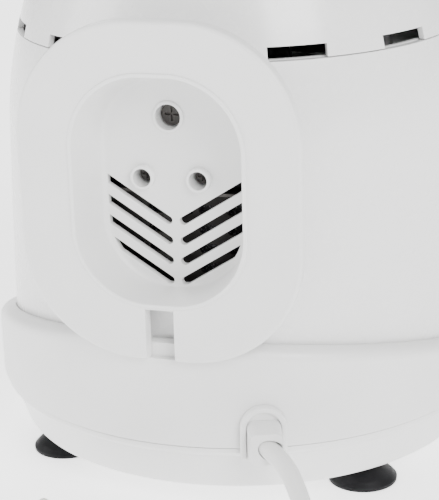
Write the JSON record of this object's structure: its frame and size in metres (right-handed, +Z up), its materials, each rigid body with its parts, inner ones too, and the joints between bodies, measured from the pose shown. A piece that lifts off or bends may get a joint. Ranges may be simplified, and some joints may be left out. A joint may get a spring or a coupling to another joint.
{
  "type": "hot-air fryer",
  "caption": "Compact round hot-air fryer with a pull-out basket drawer, a rotary timer and temperature knob, a rear exhaust collar that also stores the cord, and suction feet.",
  "frame": {"origin": "on the table, under the middle of the appliance's box without its cord", "axes": "+Z up, -Y out of the front, where the drawer and its handle are, +Y out of the rear collar, +X to the right when it is seen from the front"},
  "size_m": [0.206, 0.3932, 0.268],
  "materials": {
    "shell": "satin moulded white plastic",
    "collar": "fine-grained white plastic",
    "base": "fine-grained white plastic",
    "feet": "soft black rubber",
    "steel": "plain bright steel",
    "sheet_steel": "rolled sheet steel",
    "element": "heat-darkened steel tube",
    "aluminium": "plain aluminium",
    "black_plastic": "moulded black plastic",
    "grey_plastic": "moulded grey plastic",
    "clear_plastic": "clear moulded plastic",
    "nonstick": "dark speckled non-stick coating",
    "laminations": "stacked laminations",
    "winding": "enamelled copper under tape",
    "ceramic": "moulded cream plastic",
    "bell": "pressed brass",
    "lamp_green": "clear green",
    "lamp_amber": "clear amber",
    "relief": "soft white plastic",
    "cord": "soft white plastic sheath",
    "plug": "moulded white plastic",
    "pins": "nickel-plated brass"
  },
  "bodies": {
    "body": {"base_pan": "base", "suction_feet": "feet", "base_screws": "steel", "inner_frame": "black_plastic", "belt_skirt": "base", "body_shell": "shell", "top_cover": "shell", "temperature_dial": "grey_plastic", "thermostat": "ceramic", "timer_bezel": "shell", "timer_unit": "ceramic", "timer_bell": "bell", "power_lamp": "lamp_green", "heating_lamp": "lamp_amber", "rear_collar": "collar", "collar_screws": "steel", "exhaust_duct": "sheet_steel", "screw_plate": "sheet_steel", "chamber_liner": "sheet_steel", "reflector_plate": "sheet_steel", "heating_element": "element", "element_clips": "sheet_steel", "motor_bracket": "sheet_steel", "motor_stator": "laminations", "motor_winding": "winding", "motor_screws": "steel", "motor_spacers": "black_plastic", "thermal_cutout": "black_plastic", "door_switch": "black_plastic", "terminal_block": "ceramic", "drawer_runners": "black_plastic", "cord_gland": "collar", "strain_relief": "relief", "cord": "cord", "cord_coil": "cord", "cord_tail": "cord", "plug_body": "plug", "plug_pins": "pins"},
    "drawer": {"drawer_pan": "nonstick", "basket": "nonstick", "basket_bracket": "aluminium", "basket_rivets": "steel", "drawer_backing": "sheet_steel", "drawer_front": "shell", "handle_core": "black_plastic", "handle_cover": "shell", "handle_screws": "steel", "button_spring": "steel"},
    "button": {"release_button": "grey_plastic"},
    "guard": {"button_guard": "clear_plastic"},
    "timer": {"timer_knob": "grey_plastic", "timer_shaft": "steel"},
    "temperature": {"temperature_knob": "grey_plastic", "temperature_shaft": "steel"},
    "fan": {"fan_shaft": "steel", "convection_fan": "aluminium", "cooling_fan": "black_plastic", "fan_nut": "steel", "motor_rotor": "laminations"}
  },
  "joints": [
    {"name": "drawer_slide", "type": "slide", "parent": "body", "child": "drawer", "axis": [0, -1, 0], "range_m": [0, 0.18]},
    {"name": "button_press", "type": "slide", "parent": "drawer", "child": "button", "axis": [0, 0, -1], "range_m": [0, 0.0025], "stiffness_N_per_m": 400, "springref_m": -0.001, "deforming": ["button_spring"]},
    {"name": "guard_slide", "type": "slide", "parent": "drawer", "child": "guard", "axis": [0, -1, 0], "range_m": [0, 0.017]},
    {"name": "timer_turn", "type": "hinge", "parent": "body", "child": "timer", "pos_m": [0, -0.05812, 0.2], "axis": [0, -0.9063, 0.4226], "range_deg": [-300, 0]},
    {"name": "temperature_turn", "type": "hinge", "parent": "body", "child": "temperature", "pos_m": [0, 0.01945, 0.25], "axis": [0, 0, 1], "range_deg": [-270, 0]},
    {"name": "fan_spin", "type": "hinge", "parent": "body", "child": "fan", "pos_m": [0, 0.01945, 0.15], "axis": [0, 0, 1], "continuous": true}
  ]
}
